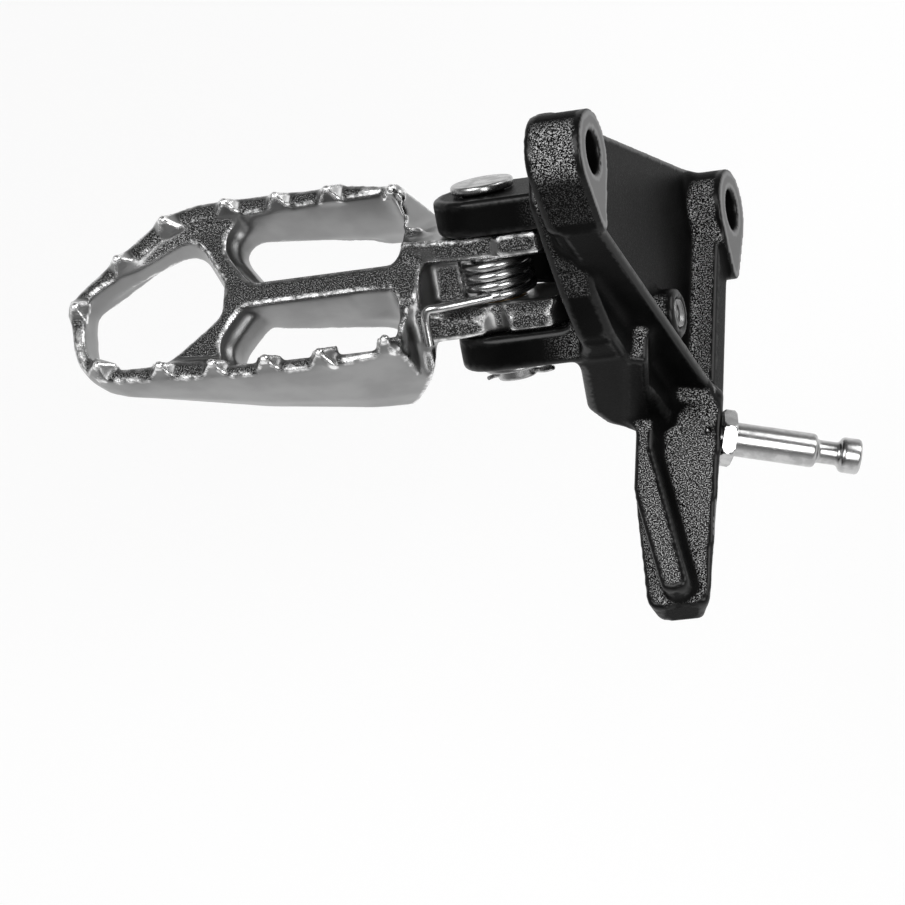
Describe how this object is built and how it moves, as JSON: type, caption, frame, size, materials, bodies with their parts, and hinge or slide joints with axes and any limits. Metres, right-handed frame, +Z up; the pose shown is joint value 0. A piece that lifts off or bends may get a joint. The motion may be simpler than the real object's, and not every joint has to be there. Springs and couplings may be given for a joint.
{
  "type": "folding motorcycle foot peg with hanger bracket",
  "caption": "Folding motorcycle foot peg: a toothed open cast tread hinged by a spring-loaded pin to a coated hanger bracket with bolt lugs and a spring post.",
  "frame": {"origin": "on the upper bolt pad's face, 10 mm beside the centre of its bore", "axes": "+X out of the bolt pads towards the motorcycle's frame, +Y forward, +Z up; the tread reaches out along -X"},
  "size_m": [0.1896, 0.1279, 0.1373],
  "materials": {
    "black_coating": "black powder coat over a sand-textured casting",
    "cast_silver": "bright plated casting with speckled top faces and polished edges",
    "pin_steel": "plated steel",
    "spring_steel": "bright drawn wire",
    "bush_bronze": "plain sintered bronze",
    "insert_steel": "plain machined steel",
    "bright_zinc": "bright zinc on turned steel"
  },
  "bodies": {
    "bracket": {"bracket_casting": "black_coating", "boss_insert": "insert_steel", "hinge_pin": "pin_steel", "pin_washer": "pin_steel", "split_pin": "pin_steel", "spring_post": "bright_zinc"},
    "peg": {"peg_casting": "cast_silver", "ear_bush_front": "bush_bronze", "ear_bush_rear": "bush_bronze", "spring_sleeve": "spring_steel", "torsion_spring": "spring_steel"}
  },
  "joints": [
    {"name": "peg_fold", "type": "hinge", "parent": "bracket", "child": "peg", "pos_m": [-0.043, 0.0076, -0.047], "axis": [0, 0.7604, 0.6495], "range_deg": [0, 75], "stiffness_Nm_per_rad": 0.5, "springref_deg": -68.75, "deforming": ["torsion_spring"]}
  ]
}
